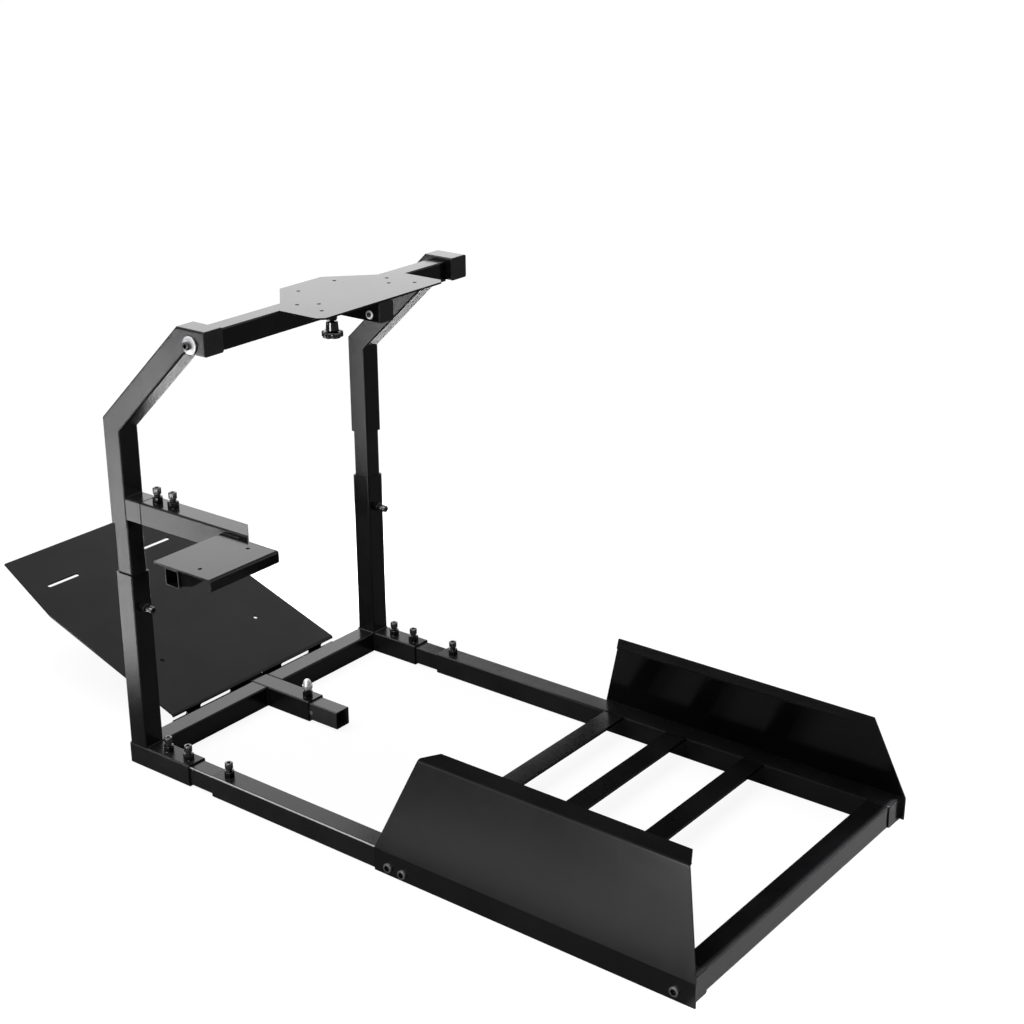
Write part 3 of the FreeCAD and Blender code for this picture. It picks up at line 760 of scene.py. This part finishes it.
def makeSeatCard(card):
    low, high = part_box("seat_bracket_left")
    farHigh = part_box("seat_bracket_right")[1]
    mesh = bpy.data.meshes.new("seatCard")
    shape = bmesh.new()
    front = high[1] + card["front"]
    for left, right, back, ahead in (
            (low[0], farHigh[0] + card["side"], low[1], front),
            (farHigh[0] + card["railIn"], farHigh[0] + card["railOut"], front, high[1] + card["railFront"])):
        sheet = bmesh.ops.create_grid(shape, x_segments=1, y_segments=1, size=0.5)["verts"]
        bmesh.ops.scale(shape, vec=(right - left, ahead - back, 1), verts=sheet)
        middle = ((left + right) / 2, (back + ahead) / 2, high[2] + card["rise"])
        bmesh.ops.translate(shape, vec=middle, verts=sheet)
    shape.to_mesh(mesh)
    shape.free()
    # black from below, and nothing from above
    material, tree = emptyMaterial("cardBlack")
    link = tree.links.new
    below = addNode(tree, "NewGeometry")
    mix = addNode(tree, "MixShader")
    link(below.outputs["Backfacing"], mix.inputs[0])
    link(addNode(tree, "BsdfTransparent").outputs[0], mix.inputs[1])
    link(addNode(tree, "BsdfDiffuse", Color=(*card["colour"], 1)).outputs[0], mix.inputs[2])
    link(mix.outputs[0], addNode(tree, "OutputMaterial").inputs["Surface"])
    mesh.materials.append(material)
    holder = bpy.data.objects.new("seatCard", mesh)
    bpy.context.scene.collection.objects.link(holder)
    holder.visible_camera = holder.visible_diffuse = holder.visible_shadow = False


makeSeatCard(seatCard)

# world: white to the camera, a sky that dims overhead in mirrors, and a faint light for the rest
worldLook = {"light": 0.12, "horizon": 1.0, "zenith": 0.5, "fadeFrom": 0.25, "fadeTo": 0.72}


def makeWorld(look):
    world = bpy.data.worlds.new("studio")
    bpy.context.scene.world = world
    world.use_nodes = True
    tree = world.node_tree
    tree.nodes.clear()
    link = tree.links.new
    place = addNode(tree, "TexCoord")
    height = addNode(tree, "SeparateXYZ")
    link(place.outputs["Generated"], height.inputs[0])
    sky = mapRange(tree, height.outputs["Z"], look["fadeFrom"], look["fadeTo"],
                   look["horizon"], look["zenith"])
    mirrorShare, weight = lightPathWeight(tree, 1.0, 1.0)
    link(sky, mirrorShare.inputs[1])
    strength = addNode(tree, "Math", operation="MAXIMUM")
    link(weight.outputs[0], strength.inputs[0])
    strength.inputs[1].default_value = look["light"]
    white = addNode(tree, "Background", Color=(1, 1, 1, 1))
    link(strength.outputs[0], white.inputs["Strength"])
    output = addNode(tree, "OutputWorld")
    link(white.outputs[0], output.inputs["Surface"])


makeWorld(worldLook)

# low boxes that light the floor ahead on both sides and behind, one on the left for the bolts and the knob,
# and a wide one ahead for the upper faces
softBoxes = {
    "frontPool": {"place": (-1.4, 1.2, 0.6), "size": (2.5, 0.45), "turn": 136, "power": 122, "spread": 40},
    "sidePool": {"place": (-1.35, -0.3, 0.5), "size": (1.3, 1.1), "power": 36, "spread": 40},
    "rightPool": {"place": (0.5, 0.32, 0.3), "size": (0.44, 0.42), "power": 8.1, "spread": 24},
    "farPool": {"place": (1.12, 0.32, 0.3), "size": (0.8, 0.42), "power": 11, "spread": 24},
    "leftBox": {"place": (-2.4, -0.45, 0.35), "aim": (0, -0.3, 0.45), "size": (1.0, 0.4), "power": 15},
    "rearPool": {"place": (0.02, -1.13, 0.1), "size": (0.8, 0.115), "power": 1.3, "spread": 10},
    "backBox": {"place": (2.55, 2.0, 1.5), "aim": (0, -0.2, 0.75), "size": (3.6, 1.6), "power": 22},
}
topSun = {"strength": 2.2, "angle": 50, "from": (-0.3, 0.3, 1), "height": 4}


def placeLamp(name, lamp, place, toward, turn=0):
    holder = bpy.data.objects.new(name, lamp)
    bpy.context.scene.collection.objects.link(holder)
    holder.location = place
    spin = Quaternion((0, 0, 1), math.radians(turn))
    holder.rotation_euler = (toward.to_track_quat("-Z", "Y") @ spin).to_euler()
    holder.visible_camera = False


def makeSoftBox(name, box):
    # a box with no aim looks straight down, and one with no spread shines all ways
    lamp = bpy.data.lights.new(name, "AREA")
    lamp.shape = "RECTANGLE"
    lamp.size, lamp.size_y = box["size"]
    lamp.energy = box["power"]
    lamp.spread = math.radians(box.get("spread", 180))
    place = Vector(box["place"])
    aim = Vector(box.get("aim", (*place.xy, 0)))
    placeLamp(name, lamp, place, aim - place, box.get("turn", 0))


def makeSun(name, sun):
    lamp = bpy.data.lights.new(name, "SUN")
    lamp.energy = sun["strength"]
    lamp.angle = math.radians(sun["angle"])
    placeLamp(name, lamp, (0, 0, sun["height"]), -Vector(sun["from"]))


for name, box in softBoxes.items():
    makeSoftBox(name, box)
makeSun("topSun", topSun)
print("floor and lights set")

# camera fitted to the tube edges in the photograph
camera = {"place": (-2.0658, -2.1433, 1.4945), "azimuth": -51.295, "elevation": 20.723, "roll": -0.756,
          "lens": 64.754, "sensor": 36.0, "shift": (0.0323, -0.01275)}


def makeCamera(view):
    lens = bpy.data.cameras.new("camera")
    lens.sensor_width = view["sensor"]
    lens.lens = view["lens"]
    lens.shift_x, lens.shift_y = view["shift"]
    holder = bpy.data.objects.new("camera", lens)
    bpy.context.scene.collection.objects.link(holder)
    around, above = math.radians(view["azimuth"]), math.radians(view["elevation"])
    back = Vector((math.sin(around) * math.cos(above), -math.cos(around) * math.cos(above), math.sin(above)))
    roll = Quaternion((0, 0, 1), math.radians(view["roll"]))
    holder.rotation_euler = ((-back).to_track_quat("-Z", "Y") @ roll).to_euler()
    holder.location = view["place"]
    bpy.context.scene.camera = holder


makeCamera(camera)
bpy.context.scene.view_settings.view_transform = "Standard"
print("camera set")
